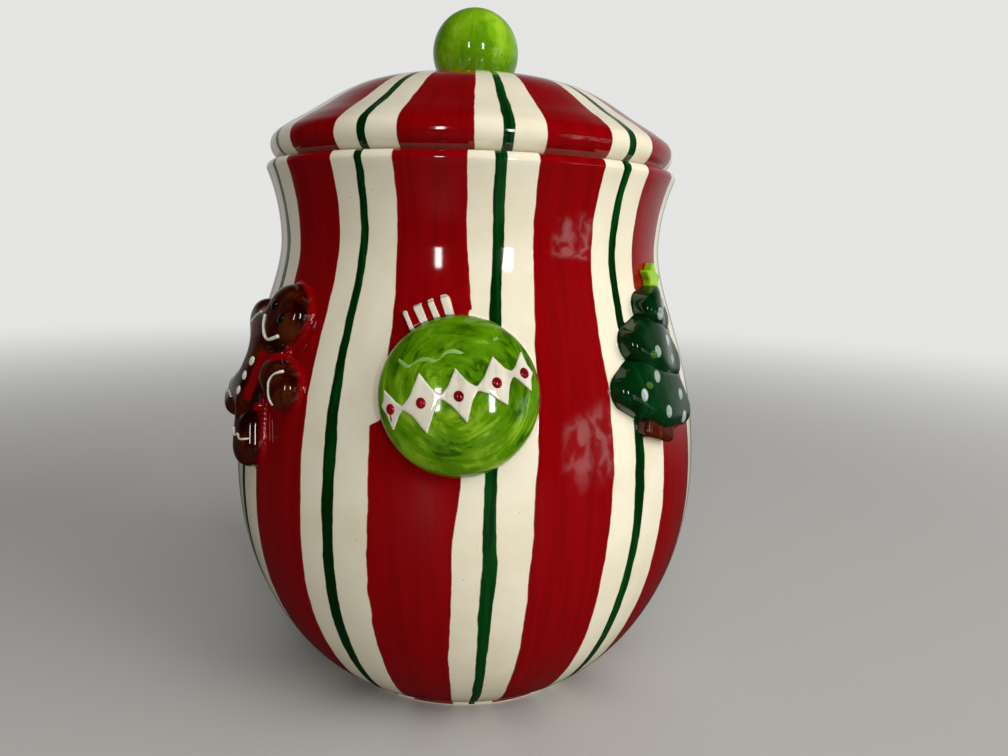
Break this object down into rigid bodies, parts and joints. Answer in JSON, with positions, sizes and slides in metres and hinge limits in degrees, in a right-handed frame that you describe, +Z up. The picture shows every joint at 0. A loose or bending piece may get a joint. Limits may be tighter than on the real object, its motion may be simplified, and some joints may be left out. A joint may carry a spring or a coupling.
{
  "type": "biscuit jar",
  "caption": "Ceramic biscuit jar with a full belly, flared rim, raised festive figures, and a domed lid with a ball knob that lifts off and turns.",
  "frame": {"origin": "middle of the foot's underside, on the table", "axes": "+Z up along the jar's axis, -Y towards the front, where the bauble is, +X to the right"},
  "size_m": [0.2132, 0.2274, 0.301],
  "materials": {
    "striped_glaze": "glossy ivory glaze with hand-painted crimson bands and green lines",
    "lime_glaze": "glossy brushed lime green glaze",
    "pine_glaze": "glossy dark green glaze",
    "brown_glaze": "glossy mottled brown glaze",
    "white_glaze": "glossy white glaze",
    "red_glaze": "glossy crimson glaze",
    "black_glaze": "glossy black glaze",
    "seal_rubber": "soft translucent white silicone"
  },
  "bodies": {
    "jar": {"jar_body": "striped_glaze", "front_bauble_ball": "lime_glaze", "front_bauble_diamonds": "white_glaze", "front_bauble_dots": "red_glaze", "front_bauble_cap": "red_glaze", "front_bauble_cap_ribs": "white_glaze", "front_tree_star": "lime_glaze", "front_tree_upper_tier": "pine_glaze", "front_tree_middle_tier": "pine_glaze", "front_tree_lower_tier": "pine_glaze", "front_tree_trunk": "brown_glaze", "front_tree_snow": "white_glaze", "front_gingerbread_figure": "brown_glaze", "front_gingerbread_icing": "white_glaze", "front_gingerbread_eyes": "black_glaze", "front_gingerbread_buttons": "white_glaze", "back_bauble_ball": "lime_glaze", "back_bauble_diamonds": "white_glaze", "back_bauble_dots": "red_glaze", "back_bauble_cap": "red_glaze", "back_bauble_cap_ribs": "white_glaze", "back_tree_star": "lime_glaze", "back_tree_upper_tier": "pine_glaze", "back_tree_middle_tier": "pine_glaze", "back_tree_lower_tier": "pine_glaze", "back_tree_trunk": "brown_glaze", "back_tree_snow": "white_glaze", "back_gingerbread_figure": "brown_glaze", "back_gingerbread_icing": "white_glaze", "back_gingerbread_eyes": "black_glaze", "back_gingerbread_buttons": "white_glaze"},
    "seal": {"lid_seal": "seal_rubber"},
    "lid": {"lid_shell": "striped_glaze", "knob": "lime_glaze"}
  },
  "joints": [
    {"name": "lid_lift", "type": "slide", "parent": "jar", "child": "seal", "axis": [0, 0, 1], "range_m": [0, 0.12]},
    {"name": "lid_turn", "type": "hinge", "parent": "seal", "child": "lid", "pos_m": [0, 0, 0.231], "axis": [0, 0, 1], "continuous": true}
  ]
}
